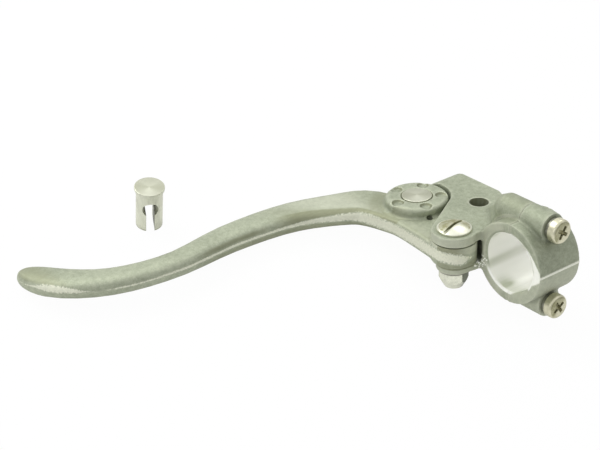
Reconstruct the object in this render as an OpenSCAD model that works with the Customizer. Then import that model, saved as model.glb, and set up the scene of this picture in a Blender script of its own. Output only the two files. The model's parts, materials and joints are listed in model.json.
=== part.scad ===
// Left-hand clutch lever on its cast perch, with a two-screw clamp for a 1 inch handlebar.
// Millimetres. The origin is the middle of the handlebar bore.
// +X runs along the bar towards its middle, +Y points forward from the rider, +Z along the pivot.

/* [Handlebar clamp] */
// Diameter of the handlebar that the clamp grips
bar_d = 25.4; // [22:0.1:28.6]
// Width of the clamp along the bar
clamp_w = 22; // [18:0.5:28]
// Wall of the clamp ring around the bar
clamp_wall = 4.3; // [3.6:0.1:7]
// Chamfer at each end of the bar's bore
bore_chamfer = 0.8; // [0.3:0.1:1.5]
// Gap left between the bracket half and the cap
clamp_gap = 0.3; // [0.2:0.1:2.4]
// Metal between the bar and each clamp screw
screw_wall = 1.05; // [0.8:0.05:4]
// Diameter of the round boss along each clamp screw
clamp_boss_d = 12; // [11:0.1:16]
// Length of each boss on the cap, from the split
cap_boss_len = 12; // [8:0.1:16]
// Length of each boss on the bracket, from the split
bracket_boss_len = 12; // [9:0.1:16]

/* [Clamp screws] */
// Thread diameter of the clamp screws
clamp_screw_d = 5; // [4:0.5:6]
// Diameter of the pan heads
pan_head_d = 10; // [8:0.1:11.5]
// Height of the pan heads
pan_head_h = 3.8; // [2.6:0.1:4.5]
// Outer diameter of the spring washers under the heads
lock_washer_d = 9.2; // [7.6:0.1:10]
// Thickness of the spring washers
lock_washer_t = 1.6; // [0.8:0.1:2]
// Radius of the rounded edge of the pan heads
pan_corner = 1.4; // [0.6:0.1:2]
// Width of each arm of the cross recess
recess_w = 1.4; // [0.8:0.1:1.8]
// Length of each arm of the cross recess
recess_len = 5.6; // [3:0.1:6]
// Depth of the cross recess
recess_depth = 2.1; // [1:0.1:2.2]

/* [Perch] */
// Height of the perch's flat top above the bar's axis
perch_top = 8.5; // [8:0.1:10]
// Inboard face of the perch, from the middle of the clamp
perch_inboard = 19.2; // [16:0.1:22]
// Diameter of the mirror hole
mirror_hole_d = 8; // [6:0.1:10]
// Mirror hole's place inboard of the clamp's middle
mirror_x = 5.7; // [4:0.1:8]
// Mirror hole's place forward of the bar
mirror_y = 33.9; // [32:0.1:37]
// Diameter of the seat for the cable's end cap
cable_seat_d = 8.2; // [6:0.1:10]
// Depth of that seat
cable_seat_depth = 8; // [5:0.1:9]
// Diameter of the hole for the inner cable
cable_hole_d = 3.2; // [2:0.1:4.5]
// Distance of the cable's line in front of the barrel's axis
cable_lead = 0.6; // [0:0.1:1]

/* [Pivot] */
// Pivot's distance outboard of the clamp's middle
pivot_out = 18.1; // [18:0.1:22]
// Pivot's distance forward of the bar
pivot_fwd = 23.2; // [23:0.1:26]
// Radius of the fork's upper ear
ear_r = 9.2; // [8.6:0.1:10]
// Radius of the fork's lower ear
lower_ear_r = 7.2; // [6.6:0.1:8]
// Thickness of the upper ear
upper_ear_t = 4; // [3:0.1:5]
// Thickness of the lower ear
lower_ear_t = 3.2; // [2.4:0.1:5]
// Diameter of the screw's shoulder that the lever turns on
shoulder_d = 8; // [7:0.1:9]
// Thread diameter of the pivot screw
pivot_thread_d = 6; // [5:0.5:6.5]
// Diameter of the domed head
dome_head_d = 14.2; // [12:0.1:16]
// Height of the domed head
dome_head_h = 2.4; // [1.6:0.1:3.4]
// Height of the upright rim below the dome
dome_rim_h = 0.8; // [0.4:0.1:1.2]
// Width of the screwdriver slot
driver_slot_w = 1.3; // [0.8:0.1:2]
// Depth of the screwdriver slot below the dome's top
driver_slot_depth = 1.6; // [0.6:0.1:1.8]
// Size of the nut across its flats
nut_af = 10.5; // [9:0.1:12]
// Height of the nut
nut_h = 7.2; // [5.5:0.1:8]
// Height of the nut's full hexagon, above its chamfer
nut_hex_h = 3.2; // [2:0.1:4]
// Diameter of the nut's flat end
nut_end_d = 7.6; // [6:0.1:8.4]
// Metal that closes the end of the nut
nut_floor = 1.6; // [1:0.1:2.5]
// Outer diameter of the plain washer under the nut
pivot_washer_d = 12.4; // [11:0.1:14]
// Thickness of the plain washer under the nut
plain_washer_t = 0.9; // [0.6:0.1:2]
// Thickness of the thrust washers beside the lever
thrust_washer_t = 0.5; // [0.3:0.1:1]
// Outer diameter of the thrust washers
thrust_washer_d = 14; // [11:0.1:17]
// Wall of the bush pressed into the lever
bush_wall = 1.5; // [1:0.1:2]

/* [Lever] */
// Thickness of the lever's tongue and web
tongue_t = 8.6; // [7:0.1:10]
// Radius of the tongue round the pivot
tongue_r = 9.2; // [8.4:0.1:9.6]
// Cable barrel's distance outboard of the clamp's middle
boss_out = 8.8; // [7:0.1:10]
// Cable barrel's distance forward of the bar
boss_fwd = 55.8; // [55:0.1:58]
// Radius of the boss round the cable barrel
boss_r = 13.2; // [12.4:0.1:13.8]
// Height that the boss stands above the web
boss_rise = 4.4; // [3.6:0.1:5.2]
// Radius of the boss's rounded top edge
boss_round = 1.8; // [0.5:0.1:2.4]
// Height that the boss hangs below the web
boss_drop = 0.4; // [0.2:0.1:2]
// Length of the blade from the bend at its root to its tip, along the bar
blade_reach = 129.2; // [115:0.2:140]
// Half width of the blade at its middle
blade_half_w = 6.9; // [6:0.1:8.5]
// Half thickness of the blade at its middle
blade_half_t = 4.85; // [4:0.05:5.5]
// Half width of the flared end
flare_half_w = 7.7; // [7:0.1:10]
// Distance of the bend outboard of the cable barrel
bend_out = 22.3; // [20:0.1:25]
// Distance of the bend forward of the cable barrel
bend_fwd = 25; // [23:0.1:27]
// Distance of the tip forward of the bend
tip_fwd = 40; // [34:0.5:44]
// Diameter of the dimples round the barrel
dimple_d = 4.8; // [3:0.1:5.2]
// Depth of the dimples
dimple_depth = 1.2; // [0.4:0.1:1.5]
// Pull of the lever from rest to the grip, in degrees
lever_pull = 26; // [15:1:28]

/* [Cable barrel] */
// Diameter of the barrel
barrel_d = 11.2; // [9.5:0.1:11.6]
// Diameter of the barrel's rim
barrel_rim_d = 12.6; // [12:0.1:13.4]
// Thickness of the barrel's rim
barrel_rim_t = 1.5; // [1:0.1:2.2]
// Height that the barrel's rim stands out of its seat in the boss
rim_proud = 0.3; // [0.1:0.05:0.8]
// Length of the barrel below its rim
barrel_len = 18; // [15.5:0.1:19]
// Width of the slot that lets the cable in
barrel_slot_w = 3.5; // [2.5:0.1:4]
// Diameter of the pocket for the cable's nipple
nipple_d = 6.5; // [5.5:0.1:7.5]
// Distance that the nipple's pocket runs past the barrel's axis
nipple_past = 1; // [0:0.1:2]
// Spare barrel's distance outboard of the clamp's middle
spare_out = 97.4; // [80:0.1:130]
// Spare barrel's distance forward of the bar
spare_fwd = 124.1; // [105:0.1:140]

/* [Clearances] */
// Radial clearance of parts that turn on each other
running_clear = 0.05; // [0.02:0.01:0.1]
// Radial clearance of a screw in a plain hole
screw_clear = 0.25; // [0.1:0.05:0.5]
// Clearance between flat faces that slide
face_clear = 0.05; // [0.02:0.01:0.1]
// Gap between the lever and the perch at rest
lever_gap = 0.9; // [0.5:0.1:1.2]
// Gap between the tongue's round end and the back of the fork
slot_gap = 1.9; // [0.9:0.1:2.4]

/* [Hidden] */
$fn = 64;
bar_r = bar_d / 2;
clamp_r = bar_r + clamp_wall;
clamp_screw_r = clamp_screw_d / 2;
screw_z = bar_r + screw_wall + screw_clear + clamp_screw_r;
cap_seat_y = -clamp_gap / 2 - cap_boss_len;
boss_nose = 4;
thread_clear = 0.02;
thread_tip_gap = 0.6;
flash = 0.3;
tap_floor = 1.5;
tap_gap = 1;
clamp_inset = 1;
clamp_bury = 3;
neck_inset = 0.5;
neck_reach = 10;
neck_half = 4.4;
mirror_land = 1.6;
inboard_rise = 2;
fork_land = 2.3;
nose_bulge = 0.1;
plate_inset = 0.6;
rim_gap = 0.3;

pivot = [-pivot_out, pivot_fwd];
boss = [-boss_out, boss_fwd];
fork_top = perch_top - upper_ear_t;
web_top = fork_top - thrust_washer_t - 2 * face_clear;
web_bottom = web_top - tongue_t;
web_mid = web_top - tongue_t / 2;
fork_bottom = web_bottom - thrust_washer_t - 2 * face_clear;
perch_bottom = fork_bottom - lower_ear_t;
perch_mid = (perch_top + perch_bottom) / 2;
perch_half = (perch_top - perch_bottom) / 2;
boss_top = web_top + boss_rise;
boss_bottom = web_bottom - boss_drop;
rim_seat_z = boss_top + rim_proud - barrel_rim_t;
shoulder_r = shoulder_d / 2;
bush_r = shoulder_r + running_clear + bush_wall;
slot_r = tongue_r + slot_gap;
boss_clear_r = boss_r + lever_gap;
cable_y = boss_fwd + cable_lead;
cable_z = perch_mid;
barrel_r = barrel_d / 2;
bend = boss + [-bend_out, bend_fwd];
nut_seat_z = perch_bottom - plain_washer_t;
// Rise of the table along X and along Y, in the frame of the tipped assembly
table_rise = [0.05, 0.24];
far = 200;
skin = 1;

CAST = [0.63, 0.66, 0.60];
BRIGHT = [0.80, 0.80, 0.76];
BRONZE = [0.66, 0.52, 0.30];

// A point at a distance and a bearing
function polar(r, a) = [r * cos(a), r * sin(a)];
function bearing(v) = atan2(v[1], v[0]);
function lerp(a, b, t) = a + (b - a) * t;

// Smooth curve through a list of points, at u from 0 to the number of spans
function spline(p, u) =
    let (last = len(p) - 1, i = min(floor(u), last - 1), t = u - i)
    let (p0 = p[max(i - 1, 0)], p1 = p[i], p2 = p[i + 1], p3 = p[min(i + 2, last)])
    0.5 * (2 * p1 + (p2 - p0) * t + (2 * p0 - 5 * p1 + 4 * p2 - p3) * t * t
        + (3 * p1 - p0 - 3 * p2 + p3) * t * t * t);

// Plate between two circles, along their outer tangents
module tangent_plate(p1, r1, p2, r2) {
    a = bearing(p2 - p1);
    b = acos((r1 - r2) / norm(p2 - p1));
    polygon([p1 + polar(r1, a + b), p2 + polar(r2, a + b), p2 + polar(r2, a - b), p1 + polar(r1, a - b)]);
}

// The half of that plate on the inboard side of the line between the centres
module inboard_plate(p1, r1, p2, r2) {
    a = bearing(p2 - p1);
    b = acos((r1 - r2) / norm(p2 - p1));
    polygon([p1, p2, p2 + polar(r2, a - b), p1 + polar(r1, a - b)]);
}

module disc(p, r) {
    translate(p) circle(r);
}

module slab(z0, z1) {
    translate([0, 0, z0]) linear_extrude(z1 - z0) children();
}

module post(p, r, z0, z1) {
    translate([p[0], p[1], z0]) cylinder(r = r, h = z1 - z0);
}

// Round bar along X, or along Y
module bar_x(r, x0, x1, y = 0, z = 0) {
    translate([x0, y, z]) rotate([0, 90, 0]) cylinder(r = r, h = x1 - x0);
}

module bar_y(r, y0, y1, x = 0, z = 0) {
    translate([x, y0, z]) rotate([-90, 0, 0]) cylinder(r = r, h = y1 - y0);
}

// Everything on one side of the clamp's split, in front of the bar or behind it
module clamp_side(front) {
    y0 = front ? clamp_gap / 2 : -far;
    translate([-far, y0, -far]) cube([2 * far, far - clamp_gap / 2, 2 * far]);
}

// Bar bore with its chamfers, cut through both halves of the clamp and clear of the fork
module bar_bore() {
    bar_x(bar_r, -clamp_w - ear_r, clamp_w);
    for (side = [-1, 1])
        translate([side * clamp_w / 2, 0, 0]) rotate([0, -90 * side, 0])
            cylinder(r1 = bar_r + bore_chamfer, r2 = bar_r, h = bore_chamfer);
}

// Round boss along a clamp screw on the bracket, with a blunt nose
module bracket_boss(side) {
    nose_r = clamp_boss_d / 2 - boss_nose / 2;
    bar_y(clamp_boss_d / 2, 0, bracket_boss_len, 0, side * screw_z);
    translate([0, bracket_boss_len, side * screw_z])
        rotate([-90, 0, 0]) cylinder(r1 = clamp_boss_d / 2, r2 = nose_r, h = boss_nose);
}

// Ramp from the middle of the perch to the nose of a screw boss, above it or below
module neck(side) {
    nose_r = clamp_boss_d / 2 - neck_inset;
    face = side > 0 ? perch_top : -perch_bottom;
    inboard = clamp_w / 2 - clamp_inset;
    foot = [
        [-neck_half, clamp_r],
        [mirror_x, mirror_y - mirror_hole_d / 2 - mirror_land],
        [inboard, clamp_r + neck_reach],
        [inboard, bar_r],
        [-neck_half, bar_r]
    ];
    mirror([0, 0, side > 0 ? 0 : 1]) hull() {
        bar_y(nose_r, bracket_boss_len - skin, bracket_boss_len, 0, screw_z, $fn = 32);
        slab(0, face) polygon(foot);
    }
}

// Edge between an ear and the lever's boss: the crossing tangent of their circles
function ear_tangent(r) =
    let (a = bearing(boss - pivot), b = acos((r + boss_clear_r) / norm(boss - pivot)))
    [pivot + polar(r, a + b), boss + polar(boss_clear_r, a + b + 180)];

// Plan of the perch with an ear of radius r round the pivot
module perch_plan(r) {
    rear = bar_r + fork_land;
    disc(pivot, r);
    polygon(concat(ear_tangent(r), [
        boss,
        [boss[0], cable_y],
        [perch_inboard, cable_y],
        [perch_inboard, mirror_y + inboard_rise],
        [clamp_w / 2 - clamp_inset, clamp_r - clamp_bury],
        [clamp_inset - clamp_w / 2, rear],
        pivot + polar(r, -asin(min((pivot[1] - rear) / r, 1)))
    ]));
}

// Perch block with its two ears and its rounded front end round the cable
module perch() {
    slab(web_mid, perch_top) perch_plan(ear_r);
    slab(perch_bottom, web_mid + skin) perch_plan(lower_ear_r);
    intersection() {
        bar_x(perch_half + nose_bulge, boss[0], perch_inboard, cable_y, perch_mid);
        translate([-far, cable_y - skin, perch_bottom]) cube([2 * far, far, 2 * perch_half]);
    }
}

// Space between the ears for the lever's tongue
module fork_slot() {
    slab(fork_bottom, fork_top) {
        disc(pivot, slot_r);
        tangent_plate(pivot, slot_r, boss, boss_clear_r);
    }
}

module cable_way() {
    bar_x(cable_hole_d / 2, boss[0], perch_inboard + skin, cable_y, cable_z);
    bar_x(cable_seat_d / 2, perch_inboard - cable_seat_depth, perch_inboard + skin, cable_y, cable_z);
}

module bracket() {
    tap_end = bracket_boss_len - tap_floor + tap_gap;
    color(CAST) difference() {
        intersection() {
            union() {
                bar_x(clamp_r, -clamp_w / 2, clamp_w / 2);
                bracket_boss(1);
                bracket_boss(-1);
                neck(1);
                neck(-1);
                perch();
            }
            clamp_side(true);
        }
        bar_bore();
        post(boss, boss_clear_r, perch_bottom - skin, perch_top + skin);
        fork_slot();
        cable_way();
        post([mirror_x, mirror_y], mirror_hole_d / 2, perch_bottom - skin, perch_top + skin);
        post(pivot, shoulder_r + running_clear, fork_bottom, perch_top + skin);
        post(pivot, pivot_thread_d / 2 + screw_clear, perch_bottom - 2 * skin, perch_top);
        for (side = [-1, 1])
            bar_y(clamp_screw_r + thread_clear, 0, tap_end, 0, side * screw_z);
    }
}

module clamp_cap() {
    color(CAST) difference() {
        intersection() {
            union() {
                bar_x(clamp_r, -clamp_w / 2, clamp_w / 2);
                for (side = [-1, 1])
                    bar_y(clamp_boss_d / 2, cap_seat_y, 0, 0, side * screw_z);
                bar_x(2 * flash, -clamp_w / 2, clamp_w / 2, flash - clamp_r);
            }
            clamp_side(false);
        }
        bar_bore();
        for (side = [-1, 1])
            bar_y(clamp_screw_r + screw_clear, cap_seat_y - skin, 0, 0, side * screw_z);
    }
}

// Pan-head screw with a cross recess, its head on the cap's spring washer
module clamp_screw(side) {
    seat_y = cap_seat_y - lock_washer_t;
    shank = bracket_boss_len - tap_floor - seat_y;
    head_r = pan_head_d / 2;
    driven_turn = side * 12;
    color(BRIGHT) translate([0, seat_y, side * screw_z]) rotate([90, 0, 0]) difference() {
        union() {
            rotate_extrude() {
                square([head_r, pan_head_h - pan_corner]);
                square([head_r - pan_corner, pan_head_h]);
                translate([head_r - pan_corner, pan_head_h - pan_corner]) circle(pan_corner);
            }
            translate([0, 0, -shank]) cylinder(r = clamp_screw_r, h = shank + skin);
        }
        for (turn = [45, 135])
            rotate(turn + driven_turn)
                translate([-recess_len / 2, -recess_w / 2, pan_head_h - recess_depth])
                    cube([recess_len, recess_w, pan_head_h]);
    }
}

module lock_washer(side) {
    split_w = lock_washer_t;
    split_turn = 20;
    color(BRIGHT) translate([0, cap_seat_y, side * screw_z]) rotate([90, 0, 0]) difference() {
        cylinder(r = lock_washer_d / 2, h = lock_washer_t);
        translate([0, 0, -skin]) cylinder(r = clamp_screw_r + thread_clear, h = lock_washer_t + 2 * skin);
        rotate(split_turn) translate([0, -split_w / 2, -skin])
            cube([lock_washer_d, split_w, lock_washer_t + 2 * skin]);
    }
}

// Shoulder screw with a domed, slotted head
module pivot_screw() {
    rise = dome_head_h - dome_rim_h;
    head_r = dome_head_d / 2;
    dome_r = (head_r * head_r + rise * rise) / (2 * rise);
    slot_turn = 12;
    slot_z = perch_top + dome_head_h - driver_slot_depth;
    tip_z = nut_seat_z - nut_h + nut_floor + thread_tip_gap;
    color(BRIGHT) translate([pivot[0], pivot[1], 0]) difference() {
        union() {
            translate([0, 0, perch_top]) intersection() {
                cylinder(r = head_r, h = dome_head_h);
                translate([0, 0, dome_head_h - dome_r]) sphere(dome_r, $fn = 128);
            }
            translate([0, 0, fork_bottom])
                cylinder(r = shoulder_r, h = perch_top - fork_bottom + dome_rim_h);
            translate([0, 0, tip_z]) cylinder(r = pivot_thread_d / 2, h = perch_top - tip_z);
        }
        translate([0, 0, slot_z]) rotate(slot_turn) translate([-dome_head_d, -driver_slot_w / 2, 0])
            cube([2 * dome_head_d, driver_slot_w, dome_head_h]);
    }
}

// Hexagon nut with a closed, chamfered end
module pivot_nut() {
    corner_r = nut_af / sqrt(3);
    blind = nut_h - nut_floor;
    nut_turn = 39;
    color(BRIGHT) translate([pivot[0], pivot[1], nut_seat_z]) rotate([180, 0, 0]) difference() {
        intersection() {
            rotate(nut_turn) cylinder(r = corner_r, h = nut_h, $fn = 6);
            rotate_extrude() polygon([[0, 0], [corner_r, 0], [corner_r, nut_hex_h],
                [nut_end_d / 2, nut_h], [0, nut_h]]);
        }
        translate([0, 0, -skin]) cylinder(r = pivot_thread_d / 2 + thread_clear, h = blind + skin);
    }
}

module flat_washer(r_in, r_out, z0, t) {
    translate([pivot[0], pivot[1], z0]) difference() {
        cylinder(r = r_out, h = t);
        translate([0, 0, -skin]) cylinder(r = r_in, h = t + 2 * skin);
    }
}

module pivot_washer() {
    hole_r = pivot_thread_d / 2 + screw_clear;
    color(BRIGHT) flat_washer(hole_r, pivot_washer_d / 2, nut_seat_z, plain_washer_t);
}

module thrust_washer(z0) {
    color(BRONZE) flat_washer(shoulder_r + running_clear, thrust_washer_d / 2, z0, thrust_washer_t);
}

module pivot_bush() {
    color(BRONZE) flat_washer(shoulder_r + running_clear, bush_r, web_bottom, tongue_t);
}

// Middle of the blade at a share of its reach beyond the bend, a distance forward of the bend
function blade_point(share, fwd) = bend + [-share * blade_reach, fwd];

// Path down the middle of the lever: up the web, round the bend, along the bar, out to the tip
function lever_path() =
    let (web_lean = 3.2, web_back = 8, flank = boss_r * [-0.56, 0.3], shoulder = boss_r * [-0.89, 1.34])
    let (straight_fwd = [8.2, 9.7, 6.3], sweep = tip_fwd * [0.275, 0.585])
    [
        pivot,
        [pivot[0] + web_lean, boss[1] - web_back],
        boss + flank,
        boss + shoulder,
        bend,
        blade_point(0.16, straight_fwd[0]),
        blade_point(0.38, straight_fwd[1]),
        blade_point(0.61, straight_fwd[2]),
        blade_point(0.80, sweep[0]),
        blade_point(0.93, sweep[1]),
        blade_point(1, tip_fwd)
    ];

// Half width, half thickness, squareness and belly of the section at each point of the path
function lever_sections() =
    let (web_w = boss_r * 0.77, web_t = tongue_t / 2 - thread_clear, thin = blade_half_t - 0.55)
    let (web_square = 4.5, blade_square = 2.6, belly = 0.075, root = 1.2, waist = 0.9, round_off = 1.6)
    [
        [tongue_r - plate_inset / 3, web_t, web_square + 1.5, 0],
        [web_w, web_t, web_square, 0],
        [web_w, web_t, web_square, 0],
        [web_w + plate_inset, web_t, web_square, 0],
        [web_w, web_t, web_square - 1.5, 0],
        [blade_half_w + root, blade_half_t, blade_square, belly],
        [blade_half_w, blade_half_t, blade_square, belly],
        [blade_half_w - waist, thin, blade_square, belly],
        [blade_half_w - waist / 4, thin, blade_square, belly],
        [flare_half_w, thin, blade_square, belly],
        [flare_half_w - round_off, thin, blade_square, belly]
    ];

// Point on a rounded section: squarer with a higher power, deeper below its middle with a belly
function oval(w, t, power, belly, a) =
    let (depth = t * (1 - belly * sign(sin(a))))
    [w * sign(cos(a)) * pow(abs(cos(a)), 2 / power), depth * sign(sin(a)) * pow(abs(sin(a)), 2 / power)];

// The blade and web as one loft along the path, closed by a rounded tip
module lever_blade() {
    path = lever_path();
    sect = lever_sections();
    sides = 24;
    body_steps = 32;
    tip_steps = 9;
    steps = body_steps + tip_steps;
    spans = len(path) - 1;
    tip_span = 0.8;
    tip_end = 0.999;
    tip_thin = 0.8;
    du = 0.02;
    tip_u = spans - tip_span;
    stations = concat([for (i = [0:body_steps]) tip_u * i / body_steps],
        [for (i = [1:tip_steps]) tip_u + tip_span * sin(90 * i / tip_steps)]);
    rings = [for (u = stations)
        let (p = spline(path, u), q = spline(path, max(u - du, 0)), r = spline(path, min(u + du, spans)))
        let (s = spline(sect, u), ahead = (r - q) / norm(r - q), across = [ahead[1], -ahead[0]])
        let (left = min((spans - u) / tip_span, 1), shrink = sqrt(1 - pow((1 - left) * tip_end, 2)))
        [for (j = [0:sides - 1])
            let (a = 360 * j / sides, ridge = j % (sides / 2) == 0 ? flash : 0)
            let (o = oval(s[0] * shrink + ridge, s[1] * lerp(1, shrink, tip_thin), s[2], s[3], a))
            [p[0] + across[0] * o[0], p[1] + across[1] * o[0], web_mid + o[1]]]];
    points = [for (ring = rings) each ring];
    walls = [for (i = [0:steps - 1], j = [0:sides - 1])
        let (a = i * sides + j, b = i * sides + (j + 1) % sides)
        each [[a, b, a + sides], [b, b + sides, a + sides]]];
    root = [for (j = [0:sides - 1]) sides - 1 - j];
    tip = [for (j = [0:sides - 1]) steps * sides + j];
    polyhedron(points, concat(walls, [root, tip]), convexity = 6);
}

// Fan-shaped opening in the boss through which the cable swings as the lever is pulled
module cable_fan() {
    margin = 8;
    reach = 2 * boss_r;
    slab(boss_bottom - skin, cable_z + barrel_slot_w / 2) polygon([
        boss,
        boss + polar(reach, margin),
        boss + polar(reach, -lever_pull - margin)
    ]);
}

// Round boss for the cable barrel, with a rounded top edge
module lever_boss() {
    flat_r = boss_r - boss_round;
    translate([boss[0], boss[1], 0]) rotate_extrude() {
        translate([0, boss_bottom]) square([boss_r, boss_top - boss_round - boss_bottom]);
        translate([0, boss_bottom]) square([flat_r, boss_top - boss_bottom]);
        translate([flat_r, boss_top - boss_round]) circle(boss_round);
    }
}

module lever() {
    dimple_ring = lerp(barrel_rim_d / 2, boss_r, 0.55);
    dimple_count = 5;
    dimple_turn = 34;
    pit_d = 2.6;
    pit_turn = 251;
    pit_depth = tongue_t / 3;
    pit = boss + polar(boss_r, pit_turn);
    color(CAST) difference() {
        union() {
            slab(web_bottom, web_top) {
                disc(pivot, tongue_r);
                inboard_plate(pivot, tongue_r, boss, boss_r - plate_inset);
            }
            lever_boss();
            lever_blade();
        }
        post(pivot, bush_r, boss_bottom - skin, boss_top);
        post(boss, barrel_r + running_clear, boss_bottom - skin, boss_top + skin);
        post(boss, barrel_rim_d / 2 + rim_gap, rim_seat_z, boss_top + skin);
        cable_fan();
        for (i = [0:dimple_count - 1])
            post(boss + polar(dimple_ring, dimple_turn + 360 * i / dimple_count), dimple_d / 2,
                boss_top - dimple_depth, boss_top + skin);
        post(pit, pit_d / 2, web_top - pit_depth, web_top + skin);
    }
}

// Barrel that holds the cable's nipple, with its rim at z = 0 and its slot along X
module barrel() {
    pocket_z = cable_z - rim_seat_z;
    difference() {
        union() {
            translate([0, 0, -barrel_len]) cylinder(r = barrel_r, h = barrel_len + skin);
            cylinder(r = barrel_rim_d / 2, h = barrel_rim_t);
        }
        translate([-barrel_d, -barrel_slot_w / 2, -barrel_len - skin])
            cube([2 * barrel_d, barrel_slot_w, barrel_len + pocket_z + barrel_slot_w / 2 + skin]);
        bar_x(nipple_d / 2, -barrel_d, nipple_past, 0, pocket_z);
    }
}

module cable_barrel() {
    color(BRIGHT) translate([boss[0], boss[1], rim_seat_z + face_clear]) barrel();
}

// Height under a point of the table on which the assembly lies tipped, on its lower screw boss
function table_z(p) =
    table_rise[0] * p[0] + table_rise[1] * (p[1] - bracket_boss_len) - screw_z - clamp_boss_d / 2;

// Second barrel, standing upright on that table
module spare_barrel() {
    place = [-spare_out, spare_fwd];
    tilt = [atan(table_rise[1]), -atan(table_rise[0]), 0];
    facing = 62;
    color(BRIGHT) translate([place[0], place[1], table_z(place)]) rotate(tilt) rotate(facing)
        translate([0, 0, barrel_len]) barrel();
}

bracket();
clamp_cap();
clamp_screw(1);  // upper_clamp_screw
clamp_screw(-1);  // lower_clamp_screw
lock_washer(1);  // upper_lock_washer
lock_washer(-1);  // lower_lock_washer
pivot_screw();
pivot_nut();
pivot_washer();
thrust_washer(fork_top - face_clear - thrust_washer_t);  // upper_thrust_washer
thrust_washer(fork_bottom + face_clear);  // lower_thrust_washer
lever();
pivot_bush();
cable_barrel();
spare_barrel();
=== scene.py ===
"""Dresses a left-hand clutch lever and its perch as raw castings, plated screws and turned barrels."""

import json
import math

import bmesh
import bpy
import numpy as np
from bpy.props import FloatProperty, FloatVectorProperty, IntProperty, PointerProperty
from mathutils import Matrix, Vector


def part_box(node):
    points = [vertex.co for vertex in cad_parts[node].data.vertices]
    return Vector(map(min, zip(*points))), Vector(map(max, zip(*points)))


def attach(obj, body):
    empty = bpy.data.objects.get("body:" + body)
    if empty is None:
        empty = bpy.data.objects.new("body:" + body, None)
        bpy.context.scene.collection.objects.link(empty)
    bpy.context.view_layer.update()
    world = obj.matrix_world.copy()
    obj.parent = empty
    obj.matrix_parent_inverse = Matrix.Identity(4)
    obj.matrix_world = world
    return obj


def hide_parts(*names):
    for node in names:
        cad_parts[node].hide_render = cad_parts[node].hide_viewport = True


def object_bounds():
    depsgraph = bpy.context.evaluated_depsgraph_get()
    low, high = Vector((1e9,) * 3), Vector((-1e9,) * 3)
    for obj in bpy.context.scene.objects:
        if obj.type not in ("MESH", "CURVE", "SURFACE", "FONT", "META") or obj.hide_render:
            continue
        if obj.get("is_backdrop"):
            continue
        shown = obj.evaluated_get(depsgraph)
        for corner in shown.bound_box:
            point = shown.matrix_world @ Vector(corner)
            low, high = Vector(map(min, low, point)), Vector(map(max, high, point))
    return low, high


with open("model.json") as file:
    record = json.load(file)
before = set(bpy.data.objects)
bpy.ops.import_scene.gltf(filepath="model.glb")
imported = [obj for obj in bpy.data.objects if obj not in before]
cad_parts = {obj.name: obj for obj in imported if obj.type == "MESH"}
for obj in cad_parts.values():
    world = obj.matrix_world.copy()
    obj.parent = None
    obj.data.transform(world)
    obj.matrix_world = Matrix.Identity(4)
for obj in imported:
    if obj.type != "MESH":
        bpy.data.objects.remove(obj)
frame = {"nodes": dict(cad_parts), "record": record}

bl_info = {
    "name": "Clutch Lever Looks",
    "version": (1, 0, 0),
    "blender": (4, 5, 0),
    "location": "View3D > Sidebar > Clutch Lever",
    "description": "Dresses the clutch lever's solids as castings, plated screws and turned barrels",
    "category": "Object",
}

MM = 0.001
# Distance in metres at which a solid's doubled vertices are merged, and least radius in mm to divide by
MERGE_REACH, LEAST_R = 1e-6, 1e-6
RECORD = frame["record"]
BODY_OF = {node: body for body, nodes in RECORD["behaviour"]["bodies"].items() for node in nodes}
MOUNTS = {mount["name"]: mount for mount in RECORD["mounts"]}
JOINTS = {joint["name"]: joint for joint in RECORD["behaviour"]["joints"]}

SCREWS = ("upper_clamp_screw", "lower_clamp_screw", "pivot_screw", "pivot_nut")
WASHERS = ("upper_lock_washer", "lower_lock_washer", "pivot_washer")
BUSHINGS = ("upper_thrust_washer", "lower_thrust_washer", "pivot_bush")
BARRELS = ("cable_barrel", "spare_barrel")

# Ways of the frame, and places in it, in metres
ALONG_BAR, UPRIGHT, REARWARD = Vector((1, 0, 0)), Vector((0, 0, 1)), Vector((0, -1, 0))
BAR_AT = Vector(MOUNTS["handlebar_clamp"]["pos_m"])
MIRROR_AT = Vector(MOUNTS["mirror_hole"]["pos_m"])
PIVOT_AT = Vector(JOINTS["lever_pull"]["pos_m"])
BOSS_AT = Vector(JOINTS["barrel_turn"]["pos_m"])
CLAMP_LOW, CLAMP_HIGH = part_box("clamp_cap")
BUSH_LOW, BUSH_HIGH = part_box("pivot_bush")
TIP_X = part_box("lever")[0].x
WEB_MID = (BUSH_LOW.z + BUSH_HIGH.z) / 2

# Radii in mm of the bar's bore, the mirror hole, the lever's boss, the barrel's eye in it, the ears round
# the pivot and the tongue between them
BAR_R = MOUNTS["handlebar_clamp"]["dims"]["r_mm"]
MIRROR_R = MOUNTS["mirror_hole"]["dims"]["r_mm"]
BOSS_R = 13.2
BARREL_EYE_R = 6.2
EAR_R, TONGUE_R = 12, 11
# Clamp's split in mm: how far off its middle the faces lie, and where they are put
SPLIT_REACH, SPLIT_HALF = 0.4, 0.02
# Bores in mm: how far off one a vertex is put back on it, and how deep its wall is marked
BORE_REACH, BORE_WALL = 0.3, 1.0
# Raw casting at the foot of the cap's bore in mm: how far it reaches in, and over how much of the width
RAW_FOOT, RAW_FOOT_RUN = 7, 5.6
# Raised parting line across the cap in mm: half its width, and how far off the bore it starts
BEAD_HALF, BEAD_START = 0.55, 3.6
# Trimmed rim of the cap's outboard face, in mm: heights, and how wide it is at each
TRIM_HEIGHTS, TRIM_WIDTHS = (-6, -1.5, 1.5, 5, 12), (-0.5, 4.3, 4.3, 2.6, 0.4)
# Painted shade on the bore: at its foot, in mm from the outboard end, where it starts, is full, begins to
# fade and ends, and the bearing and half the width of its dark streak of painted reflection, in degrees
FOOT_SHADE, STREAK_SHADE = (0.8, 1.6, 3, 10), (-25, 12)
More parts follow.
